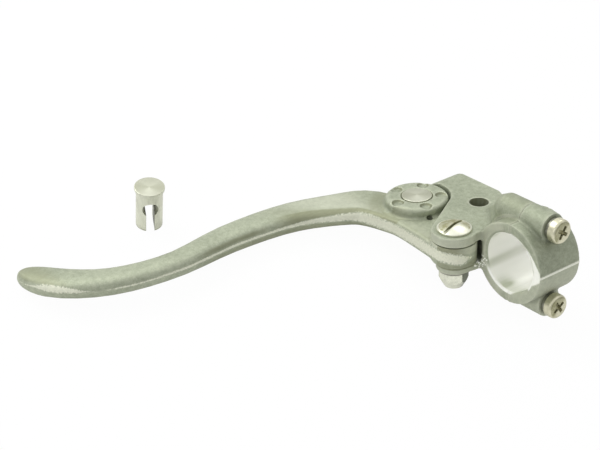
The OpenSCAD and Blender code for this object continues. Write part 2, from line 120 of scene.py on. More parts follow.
# Painted shadow of the tongue along the top of the lower ear, in mm: how far below the bush it starts, is
# full, begins to fade and ends, and how far from the pivot it reaches
TONGUE_SHADOW_BELOW, TONGUE_SHADOW_R = (0.9, 1.1, 1.6, 1.9), 9
# Where chips are left at the root of the lower ear, and how far they spread, in mm
CHIPS_AT, CHIPS_R = (-11.6, 15.2, -4.7), 3.0

# Filed band round the lever, in rows: distance from the tip, height of its middle over the web's middle
# and half its height, in mm, and how solid it is
BAND = np.array((
    (0, 0.5, 0.2, 0.5), (2, 1.1, 0.5, 0.7), (4.5, 1.35, 1.15, 0.95), (9, 1.2, 1.15, 0.95),
    (13, 0.7, 0.8, 0.8), (17, 0.2, 0.35, 0.6), (20, 0.0, 0.25, 0.3), (26, 0.1, 0.35, 0.7),
    (50, 0.3, 0.42, 0.9), (56, 0.3, 0.42, 1.0), (98, 0.1, 0.45, 1.0), (108, 0.3, 0.55, 1.0),
    (120, 0.9, 0.9, 1.0), (130, 1.3, 1.3, 1.0), (136, 0.6, 2.2, 1.0), (142, -0.4, 2.0, 1.0),
    (145, -0.3, 1.2, 0.6), (148, -0.2, 0.8, 0.4), (155, -0.2, 0.6, 0.3)))
# Dark streak of painted reflection on the blade in mm: its middle and half its length from the tip, and
# its middle over the web's middle and half its height
STREAK_ALONG, STREAK_UP = (80, 22), (1.9, 1.3)
# Other places along the lever, in mm from the tip: where the darkening of the tip ends, where the painted
# shade under the band and the web's darkening, partly rough skin and partly painted shade, begin, how far
# the painted shade on the front reaches, and where the painted shade on the shoulder and the painted light
# on the bend start, are full, begin to fade and end
TIP_DARKENING, UNDER_SHADE, WEB_STAIN_AND_SHADE, FRONT_END = (5, 14), (60, 75), (133, 139), 125
SHOULDER_RUN, BEND_RUN = (98, 112, 138, 146), (98, 128, 136, 146)
# Stretch of the parting line that carries burrs, in mm: its middle from the tip, half its length and half
# its height
BURRS_MIDDLE, BURRS_RUN, BURRS_HALF = 60, 40, 0.35
# Lip round the lever's eye, which nearly fills the gap under the ear, in mm: its height, and the radii
# where it starts, is full, begins to fall and ends
EYE_LIP, EYE_LIP_RADII = 0.33, (7.2, 7.8, 9.3, 11)
# Fillet at the boss's foot: bearings from the boss in degrees, and how far it is the wide one at each
RING_TURNS, RING_WIDE = (95, 140, 185, 240), (1.0, 1.0, 0.0, 0.0)
# Its fade at each end and the step between its rows, in degrees, and the points across its concave arc
RING_FADE, RING_STEP, RING_POINTS = 12, 5.0, 8

# Level ways in the frame: to the side of the boss where painted shadow darkens its web, across the fans of
# painted shade on the turned ends and to their backs, darkened with painted shade
NEAR_WAY = (-0.6, -0.8)
ACROSS_WAY = (0.8, -0.6, 0)
DULL_WAY = (0.3, 0.95, 0)
# Way that the nut's facet darkened with painted shade faces
NUT_DULL_WAY = ACROSS_WAY
# Sides of the screws' heads darkened with painted shade: the way to each, and where it starts, as a share
# of the head's radius
PIVOT_DULL = (((0, 0.9, 0), -0.3), ((0.99, 0.14, 0), 0.1))
CLAMP_DULL = (((-0.7, 0, 0.7), -0.3),)
# Screws' heads: radius as a share of the box's width, and in mm how deep they are searched for cuts and
# how wide the rings are in which they are searched
HEAD_SHARE, HEAD_DEPTH, HEAD_RING = 0.44, 3, 0.15

# Least and most of a burr's length, width and height, as shares of the largest burr's length
BURR_LEAST, BURR_MOST = (0.35, 0.2, 0.08), (1.0, 0.6, 0.25)
# How strongly the painted highlight on the edges and the painted shade in the corners of the castings and
# of the hardware are marked, and the passes that smooth those marks
CASTING_BENDS, HARDWARE_BENDS, BEND_PASSES = 5.0, 3.0, 2
# Lamps: name, way from the part's middle and width in metres, and the setting that holds the power
LAMPS = (
    ("key_lamp", (-0.20, 0.40, 0.70), 0.55, "key_power"),
    ("fill_lamp", (-0.78, -0.30, 0.30), 0.4, "fill_power"),
    ("rim_lamp", (0.54, 0.24, 0.68), 0.28, "rim_power"))
WHITE = (1, 1, 1, 1)
# Width of the camera's sensor, in mm
SENSOR_WIDTH = 36


def length(name, description, default):
    """A size in metres that a user may change."""
    return FloatProperty(name=name, description=description, default=default, unit="LENGTH", precision=5)


def number(name, description, default, **limits):
    """A plain number that a user may change."""
    return FloatProperty(name=name, description=description, default=default, **limits)


def tint(name, description, default):
    """A colour that a user may change."""
    return FloatVectorProperty(
        name=name, description=description, default=default, subtype="COLOR", min=0, max=1)


def angle(name, description, degrees):
    """An angle, given in degrees, that a user may change."""
    return number(name, description, math.radians(degrees), subtype="ANGLE")


def power(name, description, watts):
    """A lamp's power that a user may change."""
    return number(name, description, watts, unit="POWER")


class CastingSizes(bpy.types.PropertyGroup):
    """Sizes of the cast skin on the bracket, the cap and the lever."""

    step: length("Skin step", "Spacing of the cast skin's mesh", 0.40 * MM)
    fillet: length("Fillet", "Radius that fills the inner corners", 0.45 * MM)
    boss_fillet: length("Boss fillet", "Radius between the boss and the web", 0.7 * MM)
    blade_fillet: length("Blade fillet", "Radius between the boss and the blade", 3.0 * MM)
    passes: IntProperty(name="Rounding", description="Passes that round the edges", default=2, min=0)
    burr: length("Burr", "Length of the largest burr on the parting line", 0.55 * MM)
    chip: length("Chip", "Length of the largest chip at the lower ear", 1.7 * MM)
    burrs_per_m2: number("Burrs", "Burrs to a square metre of band", 1.6e6)
    seed: IntProperty(name="Seed", description="Draw of the burrs", default=7)


class HardwareSizes(bpy.types.PropertyGroup):
    """Sizes of the skin on the screws, the nut and the barrels."""

    step: length("Skin step", "Spacing of the hardware's mesh", 0.14 * MM)
    passes: IntProperty(name="Rounding", description="Passes that break the edges", default=2, min=0)
    crown: length("Crown", "Fall of a barrel's end from its middle to its rim", 0.2 * MM)


class Finishes(bpy.types.PropertyGroup):
    """Colours of the finishes."""

    cast_light: tint("Cast, light", "Raw casting where it is clean", (0.51, 0.545, 0.415))
    cast_dark: tint("Cast, dark", "Raw casting where it is dull", (0.30, 0.33, 0.24))
    # Dark colour of the painted shade in the castings' inner corners, and the dark end of the random tone
    # on the zinc washers
    grime_and_shade: tint("Grime", "Dirt in the corners", (0.10, 0.11, 0.075))
    # Colour of the painted shade and painted reflection in the castings' dark places, with the web's rough
    # skin, and of the painted shade on the barrels
    stain: tint("Stain", "Dark streak along the blade", (0.25, 0.26, 0.16))
    fettled: tint("Fettled", "Filed metal on the parting line", (0.78, 0.79, 0.66))
    machined: tint("Machined", "Bored metal in the clamp", (0.97, 0.975, 0.91))
    nickel: tint("Nickel", "Plate on the screws", (0.70, 0.68, 0.51))
    tarnish: tint("Tarnish", "Olive film on the plate", (0.35, 0.345, 0.20))
    zinc: tint("Zinc", "Plate on the washers", (0.30, 0.30, 0.25))
    bronze: tint("Bronze", "Sintered bushings", (0.45, 0.29, 0.12))
    turned: tint("Turned", "Turned barrels", (0.72, 0.735, 0.60))
    floor: tint("Floor", "Pale floor", (0.86, 0.86, 0.86))


class StageSettings(bpy.types.PropertyGroup):
    """Camera, floor and lamps."""

    azimuth: angle("Azimuth", "Bearing of the camera round the part", -36.84)
    elevation: angle("Elevation", "Height of the camera above the part", 27.58)
    roll: angle("Roll", "Roll of the camera", -2.24)
    place: FloatVectorProperty(
        name="Place", description="Where the camera stands", default=(-0.3813, -0.3599, 0.2869),
        subtype="TRANSLATION", unit="LENGTH")
    lens: number("Lens", "Focal length on a 36 mm wide sensor, in mm", 90)
    rise_x: number("Rise along X", "Slope of the table along the bar", 0.05)
    rise_y: number("Rise along Y", "Slope of the table forward of the bar", 0.24)
    floor_size: length("Floor size", "Side of the floor", 6.0)
    floor_glow: number("Floor glow", "Share of plain white in the floor", 0.97, min=0, max=1)
    horizon: number("Horizon", "Strength of the room's light from the sides", 0.3)
    zenith: number("Zenith", "Strength of the room's light from above", 1.0)
    key_power: power("Key", "Power of the large lamp", 3.0)
    fill_power: power("Fill", "Power of the small lamp", 0.7)
    rim_power: power("Rim", "Power of the lamp behind", 0.7)


class ClutchLever(bpy.types.PropertyGroup):
    """Everything that a user may change."""

    casting: PointerProperty(type=CastingSizes)
    hardware: PointerProperty(type=HardwareSizes)
    finish: PointerProperty(type=Finishes)
    stage: PointerProperty(type=StageSettings)


def settings():
    return bpy.context.scene.clutch_lever


def add_node(tree, kind, values=None, inputs=None):
    """Adds a node, with its settings made first and its sockets filled or linked. Returns its outputs."""
    node = tree.nodes.new(kind)
    for name, value in (values or {}).items():
        setattr(node, name, value)
    for name, value in (inputs or {}).items():
        if isinstance(value, bpy.types.NodeSocket):
            tree.links.new(value, node.inputs[name])
        else:
            node.inputs[name].default_value = value
    return node.outputs


class Value:
    """A shader socket that takes part in Python arithmetic."""

    def __init__(self, paint, socket):
        self.paint = paint
        self.socket = socket

    def math(self, operation, first, second=0.0):
        return self.paint.node("ShaderNodeMath", {"operation": operation}, {0: first, 1: second})

    def __add__(self, other):
        return self.math("ADD", self, other)

    __radd__ = __add__

    def __sub__(self, other):
        return self.math("SUBTRACT", self, other)

    def __rsub__(self, other):
        return self.math("SUBTRACT", other, self)

    def __mul__(self, other):
        return self.math("MULTIPLY", self, other)

    __rmul__ = __mul__

    def waves(self, pitch):
        """Rises to 1 and falls to 0 over each pitch."""
        return self.math("SINE", self * (2 * math.pi / pitch)) * 0.5 + 0.5

    def between(self, low, high):
        """0 below low, 1 above high, smooth between."""
        return self.paint.node("ShaderNodeMapRange", {"interpolation_type": "SMOOTHSTEP"},
                               {"Value": self, "From Min": low, "From Max": high})


class Paint:
    """The shader of a material or of the room, under construction."""

    def __init__(self, owner, output="ShaderNodeOutputMaterial"):
        owner.use_nodes = True
        self.owner = owner
        self.tree = owner.node_tree
        self.tree.nodes.clear()
        self.out = self.tree.nodes.new(output)

    def node(self, kind, values=None, inputs=None, output=0):
        """One output of a new node, with its settings made first and its sockets filled or linked."""
        sockets = {name: getattr(value, "socket", value) for name, value in (inputs or {}).items()}
        return Value(self, add_node(self.tree, kind, values, sockets)[output])

    def mark(self, name):
        """A number kept on the mesh."""
        return self.node("ShaderNodeAttribute", {"attribute_name": name}, output="Fac")

    def noise(self, scale, detail=3.0, rough=0.55, stretch=None):
        """Noise with so many features to a metre, stretched along the axes where that is given."""
        where = self.node("ShaderNodeTexCoord", output="Object")
        if stretch:
            where = self.node("ShaderNodeMapping", None, {"Vector": where, "Scale": stretch})
        return self.node("ShaderNodeTexNoise", None,
                         {"Vector": where, "Scale": scale, "Detail": detail, "Roughness": rough})

    def mix(self, factor, first, second):
        """Colour between two colours."""
        ends = [end if isinstance(end, Value) else (*end, 1.0) for end in (first, second)]
        return self.node("ShaderNodeMix", {"data_type": "RGBA", "clamp_factor": True},
                         {0: factor, 6: ends[0], 7: ends[1]}, output=2)

    def blend(self, factor, first, second):
        """Number between two numbers."""
        return self.node("ShaderNodeMix", {"data_type": "FLOAT", "clamp_factor": True},
                         {0: factor, 2: first, 3: second})

    def mix_shaders(self, factor, first, second):
        return self.node("ShaderNodeMixShader", None, {0: factor, 1: first, 2: second})

    def seen(self, mirrored=0.0):
        """1 for rays straight from the camera, and the given share for those that metal mirrors."""
        camera = self.node("ShaderNodeLightPath", output="Is Camera Ray")
        return camera + self.node("ShaderNodeLightPath", output="Is Glossy Ray") * mirrored

    def bump(self, height, depth, strength):
        return self.node("ShaderNodeBump", None,
                         {"Height": height, "Distance": depth, "Strength": strength})

    def end(self, shader):
        """Ends the tree in that shader. Returns the material or the room."""
        self.tree.links.new(shader.socket, self.out.inputs["Surface"])
        return self.owner

    def finish(self, **sockets):
        """Ends a material in a Principled shader with those sockets."""
        names = {name.replace("_", " ").title(): value for name, value in sockets.items()}
        return self.end(self.node("ShaderNodeBsdfPrincipled", None, names))


def new_paint(name):
    return Paint(bpy.data.materials.new(name))


def darker(colour, share):
    return tuple(share * part for part in colour)


def cast_alloy(name, finish, sheen):
    """Raw cast alloy: mottled skin, matt or with a sheen, filed bands and bright bores, with painted
    highlight on edges and pale places, painted shade in corners and bores, and dark places of painted
    shade and reflection.
    """
    paint = new_paint(name)
    # Painted highlight along the outer edges, and painted shade in the inner corners
    edge, hollow = paint.mark("edge"), paint.mark("hollow")
    clouds = paint.noise(70, 4).between(0.3, 0.7)
    mottle = paint.noise(480, 5, 0.75).between(0.3, 0.7)
    grain = paint.noise(1700, 4, 0.7).between(0.25, 0.75)
    brushed = paint.noise(1, 3, 0.6, (40, 900, 900))
    ragged = paint.noise(1400, 5, 0.7).between(0.3, 0.7)
    flash = (paint.mark("flash") + (ragged - 0.5) * 0.35).between(0.38, 0.6)
    tone = clouds * 0.25 + mottle * 0.5 + grain * 0.5 - 0.14 * (1 - sheen) - 0.185
    skin = paint.mix(tone, finish.cast_dark, finish.cast_light)
    # Painted light: places that are lit more, made paler towards the filed metal's colour
    skin = paint.mix(paint.mark("pale") * 0.35, skin, finish.fettled)
    # Painted highlight: the edges lightened towards the filed metal's colour
    skin = paint.mix(edge * 0.5, skin, finish.fettled)
    # Painted shade in the inner corners
    skin = paint.mix(hollow * 0.7, skin, finish.grime_and_shade)
    # Painted shade and painted reflection in the dark places, with some rough skin on the web
    skin = paint.mix(paint.mark("stain") * (0.45 + brushed * 0.4), skin, finish.stain)
    skin = paint.mix(flash * (0.72 + ragged * 0.28), skin, finish.fettled)
    rough = 0.58 - 0.05 * sheen + grain * 0.12 - edge * 0.08

    # Painted shade on the bored walls, with a dark streak of painted reflection
    bored, film = paint.mark("bored"), paint.mark("film")
    rings = paint.noise(1, 3, 0.6, (5200, 60, 60))
    streaks = paint.noise(1, 2, 0.5, (14, 190, 190)).between(0.35, 0.75)
    bright = paint.mix(streaks * (0.1 + film * 0.6) + film * 0.35, finish.machined, finish.cast_light)
    height = paint.blend(bored, mottle * 0.35 + grain * 0.5 - flash * ragged * 0.6, rings * 0.3)
    return paint.finish(
        base_color=paint.mix(bored, skin, bright),
        metallic=paint.blend(bored, 0.7 + flash * 0.1, 0.1),
        roughness=paint.blend(bored, rough, 0.28 + rings * 0.12),
        normal=paint.bump(height, 0.1 * MM, 0.55))


def plated_steel(name, colour, dull, roughness, metallic=0.9, recess=0.7):
    """Bright plate with fine scuffs, and painted shade on its dull sides, in its inner corners and in its
    recesses.
    """
    paint = new_paint(name)
    # Painted shade on the dull sides of the screws' heads
    soil = paint.mark("soil")
    film = paint.noise(420, 4, 0.65).between(0.35, 0.75)
    scuffs = paint.noise(1, 3, 0.7, (900, 5200, 900)).between(0.5, 0.8)
    plate = paint.mix(film * 0.3 + soil * (0.6 + film * 0.4), colour, dull)
    # Painted shade in the inner corners
    plate = paint.mix(paint.mark("hollow") * 0.5, plate, dull)
    return paint.finish(
        # Painted shade in the recesses, and on the nut's dull facet
        base_color=paint.mix(paint.mark("cut") * recess, plate, darker(dull, 0.6)),
        metallic=metallic,
        roughness=roughness + film * 0.1 + scuffs * 0.06 + soil * 0.15,
        normal=paint.bump(film + scuffs * 0.4, 0.02 * MM, 0.3))


def sintered_bronze(name, colour):
    """Bronze bushing metal with open pores."""
    paint = new_paint(name)
    pores = paint.noise(3200, 2).between(0.55, 0.7)
    film = paint.noise(180, 3)
    return paint.finish(
        base_color=paint.mix(pores * 0.6 + film * 0.2, tuple(colour), darker(colour, 0.35)),
        metallic=0.9,
        roughness=0.38 + film * 0.15,
        normal=paint.bump(pores, -0.03 * MM, 0.5))


def turned_metal(name, colour, dull, film_colour):
    """Turned barrel: rings on its faces, finer ones and drawn lines down its side, with painted highlight
    on its edges and painted shade on its ends, in its corners, at its foot and in its pocket.
    """
    paint = new_paint(name)
    radius, face = paint.mark("radius"), paint.mark("face")
    cuts = paint.blend(face, paint.mark("along").waves(0.35 * MM), radius.waves(0.55 * MM))
    film = paint.noise(180, 3).between(0.35, 0.8)
    drawn = paint.noise(1, 3, 0.6, (1100, 1100, 50)).between(0.35, 0.7) * (1 - face)
    # Painted shade: each end darker towards its rim
    rim_shade = face * radius.between(1.5 * MM, 5.0 * MM)
    metal = paint.mix(film * 0.15 + drawn * 0.2 + cuts * 0.2 + rim_shade * 0.1, colour, dull)
    # Painted shade in the inner corners
    metal = paint.mix(paint.mark("hollow") * 0.6, metal, dull)
    # Painted highlight along the edges
    metal = paint.mix(paint.mark("edge") * 0.9, metal, colour)
    # Painted shade on the dull sectors of the turned ends and at the foot
    metal = paint.mix(paint.mark("soil") * 0.55, metal, film_colour)
    return paint.finish(
        # Painted shade in the pocket
        base_color=paint.mix(paint.mark("cut") * 0.8, metal, darker(dull, 0.3)),
        metallic=0.85,
        roughness=0.32 + cuts * 0.1 + film * 0.08,
        normal=paint.bump(cuts, 0.012 * MM, 0.35))


def smooth_step(low, high, values):
    """0 below low, 1 above high, smooth between."""
    t = np.clip((values - low) / (high - low), 0, 1)
    return t * t * (3 - 2 * t)


def fade_out(low, high, values):
    """1 below low, 0 above high, smooth between."""
    return 1 - smooth_step(low, high, values)


def nearness(values, middle, reach):
    """1 at the middle, falling evenly to 0 at that reach from it."""
    return np.clip(1 - np.abs(values - middle) / reach, 0, 1)


def plateau(values, start, full, fall, end):
    """Rises smoothly from the start until full, and falls to the end."""
    return smooth_step(start, full, values) * fade_out(fall, end, values)


def read_vectors(items, field):
    flat = np.empty(len(items) * 3, np.float32)
    items.foreach_get(field, flat)
    return flat.reshape(-1, 3).astype(float)


def read_edges(mesh):
    flat = np.empty(len(mesh.edges) * 2, np.int32)
    mesh.edges.foreach_get("vertices", flat)
    return flat.reshape(-1, 2)


class Skin:
    """The vertices of a piece's mesh: their places in mm, the ways they face, how level they lie."""

    def __init__(self, mesh):
        self.mesh = mesh
        self.place = read_vectors(mesh.vertices, "co") / MM
        self.normal = read_vectors(mesh.vertex_normals, "vector")
        self.x, self.y, self.z = self.place.T
        self.face_x, self.face_y, self.face_z = self.normal.T
        self.level = np.abs(self.face_z)

    def mark(self, name, values):
        """Keeps one number for each vertex, for the material."""
        mark = self.mesh.attributes.new(name, "FLOAT", "POINT")
        mark.data.foreach_set("value", np.asarray(values, np.float32))

    def put_back(self):
        """Moves the mesh's vertices to their places."""
        self.mesh.vertices.foreach_set("co", (self.place * MM).astype(np.float32).ravel())

    def about(self, centre, axis):
        """How far along an axis each vertex lies from a point of the frame, and its offset across it."""
        off = self.place - np.array(centre) / MM
        along = off @ np.array(axis)
        return along, off - along[:, None] * np.array(axis)

    def away(self, point):
        """How far each vertex lies from the upright line through a point of the frame."""
        return np.linalg.norm(self.place[:, :2] - np.array(point.xy) / MM, axis=1)

    def true_bore(self, centre, axis, radius):
        """Moves the vertices near a bore's wall onto it. Returns how far from its axis each one lay."""
        spoke = self.about(centre, axis)[1]
        r = np.maximum(np.linalg.norm(spoke, axis=1), LEAST_R)
        near = np.abs(r - radius) < BORE_REACH
        self.place[near] += spoke[near] * (radius / r[near] - 1)[:, None]
        return r


def mark_edge_highlight_and_corner_shade(mesh, gain):
    """Marks painted highlight on the outer edges and painted shade in the inner corners, from how far each
    vertex lies off its neighbours.
    """
    skin = Skin(mesh)
    start, end = read_edges(mesh).T
    count = len(skin.place)
    ways = np.maximum(np.bincount(start, minlength=count) + np.bincount(end, minlength=count), 1)
    step = skin.place[end] - skin.place[start]
    step /= np.linalg.norm(step, axis=1, keepdims=True)
    rise = np.bincount(start, (skin.normal[start] * step).sum(1), count)
    rise -= np.bincount(end, (skin.normal[end] * step).sum(1), count)
    bend = rise / ways
    for _ in range(BEND_PASSES):
        bend = (np.bincount(start, bend[end], count) + np.bincount(end, bend[start], count)) / ways
    skin.mark("edge", np.clip(-bend * gain, 0, 1))
    skin.mark("hollow", np.clip(bend * gain, 0, 1))


def boss_ring(narrow, wide):
    """A closed ring that fillets the corner between the lever's boss and the web, fading at its ends."""
    wall, floor, bury, least = BOSS_R * MM, BUSH_HIGH.z, 0.5 * MM, 0.05 * MM
    start, stop = RING_TURNS[0], RING_TURNS[-1]
    shell = bmesh.new()
    rows = []
    for turn in np.arange(start, stop + 1, RING_STEP):
        radius = narrow + (wide - narrow) * np.interp(turn, RING_TURNS, RING_WIDE)
        size = max(radius * smooth_step(0, RING_FADE, min(turn - start, stop - turn)), least)
        arc = [(wall + size * (1 + math.cos(a)), floor + size * (1 + math.sin(a)))
               for a in np.linspace(math.pi, 1.5 * math.pi, RING_POINTS)]
        foot = [(wall + size, floor - bury), (wall - bury, floor - bury), (wall - bury, arc[0][1])]
        way = Vector((math.cos(math.radians(turn)), math.sin(math.radians(turn)), 0))
        rows.append([shell.verts.new(BOSS_AT.xy.to_3d() + way * r + Vector((0, 0, z)))
                     for r, z in arc + foot])
    for first, second in zip(rows, rows[1:]):
        for k, vert in enumerate(first):
            shell.faces.new((first[k - 1], vert, second[k], second[k - 1]))
    shell.faces.new(rows[0])
    shell.faces.new(rows[-1])
    bmesh.ops.recalc_face_normals(shell, faces=shell.faces)
    mesh = bpy.data.meshes.new("boss_ring")
    shell.to_mesh(mesh)
    shell.free()
    return mesh


def soft_copy(node, step, fillet, passes, extra=None):
    """A closed, evenly meshed copy of a solid, with its inner corners filled and its edges rounded."""
    mesh = frame["nodes"][node].data.copy()
    shell = bmesh.new()
    shell.from_mesh(mesh)
    bmesh.ops.remove_doubles(shell, verts=shell.verts, dist=MERGE_REACH)
    if extra:
        shell.from_mesh(extra)
        bpy.data.meshes.remove(extra)
    shell.to_mesh(mesh)
    shell.free()
    blank = bpy.data.objects.new(node + "_blank", mesh)
    bpy.context.scene.collection.objects.link(blank)
    remesh = {"mode": "VOXEL", "voxel_size": step, "use_smooth_shade": True}
    stack = [("REMESH", remesh)]
    if fillet:
        stack.append(("DISPLACE", {"strength": fillet, "mid_level": 0}))
        stack.append(("REMESH", remesh))
        stack.append(("DISPLACE", {"strength": -fillet, "mid_level": 0}))
    stack.append(("SMOOTH", {"factor": 0.5, "iterations": passes}))
    for kind, values in stack:
        modifier = blank.modifiers.new(kind.lower(), kind)
        for name, value in values.items():
            setattr(modifier, name, value)
    depsgraph = bpy.context.evaluated_depsgraph_get()
    copy = bpy.data.meshes.new_from_object(blank.evaluated_get(depsgraph))
    bpy.data.objects.remove(blank)
    bpy.data.meshes.remove(mesh)
    if not copy.vertices:
        raise RuntimeError(f"the skin of {node} came out empty")
    copy.materials.clear()
    return copy


def settle(mesh, name, node, material):
    """Puts a finished mesh in place of a solid, on the solid's body and with its finish."""
    mesh.name = name
    mesh.materials.append(material)
    piece = bpy.data.objects.new(name, mesh)
    bpy.context.scene.collection.objects.link(piece)
    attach(piece, BODY_OF[node])
    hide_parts(node)


def paint_solid(node, material):
    """Gives a solid that stays a new material."""
    solid = frame["nodes"][node]
    if not solid.material_slots:
        raise RuntimeError(f"{node} has no material slot")
    for slot in solid.material_slots:
        slot.link = "OBJECT"
        slot.material = material


class ClampSkin(Skin):
    """The vertices of a clamp half, with its split closed and its bore trued."""

    def __init__(self, mesh):
        super().__init__(mesh)
        split = np.abs(self.y) < SPLIT_REACH
        self.y[split] = np.sign(self.y[split]) * SPLIT_HALF
        self.off_bar = self.true_bore(BAR_AT, ALONG_BAR, BAR_R)
        self.off_wall = self.off_bar - BAR_R
        self.inboard = self.x - CLAMP_LOW.x / MM

    def bored(self, raw):
        """Where the bore's wall is machined, but for what is left raw."""
        inward = -(self.face_y * self.y + self.face_z * self.z) / self.off_bar
        inside = (np.abs(self.x) < CLAMP_HIGH.x / MM + BORE_REACH) & (self.off_wall < BORE_WALL)
        return inside * smooth_step(0.25, 0.5, inward) * (1 - raw)

    def mark_bore_shade(self):
        """Marks painted shade on the bore: at its foot and its roof by the outboard end, and in a dark
        streak of painted reflection.
        """
        bearing = np.degrees(np.arctan2(self.z, self.y))
        foot = 1.4 * smooth_step(8.5, 12.5, -self.z) * plateau(self.inboard, *FOOT_SHADE)
        streak = 0.7 * smooth_step(0, 0.7, nearness(bearing, *STREAK_SHADE))
        roof = 0.8 * smooth_step(20, 40, bearing) * fade_out(3, 7, self.inboard)
        self.mark("film", np.max((foot, streak, roof), axis=0) * (self.off_wall < BORE_WALL))


def finish_bracket(mesh):
    """Trues the bracket's bores, and marks its bore, the painted shade in its bar's bore, mirror hole,
    upper screw boss and under the tongue, the painted light on its ears and ring, and where chips are
    left.
    """
    skin = ClampSkin(mesh)
    skin.true_bore(MIRROR_AT, UPRIGHT, MIRROR_R)
    raw_lip = fade_out(1.1, 1.5, skin.inboard) * smooth_step(-7, -4, skin.z)
    skin.mark("bored", skin.bored(raw_lip))
    skin.mark_bore_shade()

    # Painted shade down the mirror hole's wall, unevenly streaked
    spoke = skin.about(MIRROR_AT, UPRIGHT)[1]
    turn = np.arctan2(spoke[:, 1], spoke[:, 0])
    hole = (np.linalg.norm(spoke, axis=1) < MIRROR_R + 0.15) & (skin.level < 0.5)
    hole_shade = hole * (0.8 + 0.5 * np.sin(9 * turn) * np.sin(4 * turn + 1))
    off_pivot = skin.away(PIVOT_AT)
    below = BUSH_LOW.z / MM - skin.z
    # Painted shadow of the tongue along the top of the lower ear
    tongue_shadow = plateau(below, *TONGUE_SHADOW_BELOW) * (off_pivot < TONGUE_SHADOW_R)
    # Painted shade on the top of the upper screw boss
    screw_boss = 0.35 * smooth_step(11, 14, skin.z) * smooth_step(0.2, 0.8, skin.face_z)
    skin.mark("stain", np.max((tongue_shadow, screw_boss, hole_shade), axis=0))

    # Painted light on the ears' sides and on the ring's outboard face by the bore
    ears = (off_pivot < EAR_R) & (skin.level < 0.6) & ((below < 0) | (below > TONGUE_SHADOW_BELOW[-1]))
    rim = 1.3 * (skin.off_wall < 6) * smooth_step(0.6, 0.9, -skin.face_x) * smooth_step(0, 6, skin.y)
    skin.mark("pale", 0.95 * np.maximum(ears, rim))
    skin.mark("burr", 0.6 * (np.linalg.norm(skin.place - np.array(CHIPS_AT), axis=1) < CHIPS_R))
    skin.put_back()


def finish_cap(mesh):
    """Trues the cap's bore, and marks its bore, its parting line, its trimmed rim, the painted light on
    its lower half and the painted shade in its bore.
    """
    skin = ClampSkin(mesh)
    foot = RAW_FOOT * np.clip(-skin.y / RAW_FOOT_RUN, 0, 1) ** 3
    raw_foot = smooth_step(-0.5, 0.5, foot - skin.inboard) * smooth_step(7, 8, -skin.z)
    bead = np.clip(1.4 - np.abs(skin.z) / BEAD_HALF, 0, 1) * (skin.off_wall > BEAD_START)
    wide = np.interp(skin.z, TRIM_HEIGHTS, TRIM_WIDTHS)
    trimmed = np.clip(wide - skin.off_wall + 0.5, 0, 1) * smooth_step(0.5, 0.8, -skin.face_x)
    skin.mark("bored", np.max((skin.bored(raw_foot), 0.4 * bead, 0.8 * trimmed), axis=0))
    skin.mark("flash", np.maximum(bead, trimmed))
    # Painted light on the cap's lower half
    skin.mark("pale", 0.8 * smooth_step(0.3, 1.2, -skin.z))
    skin.mark_bore_shade()
    skin.put_back()


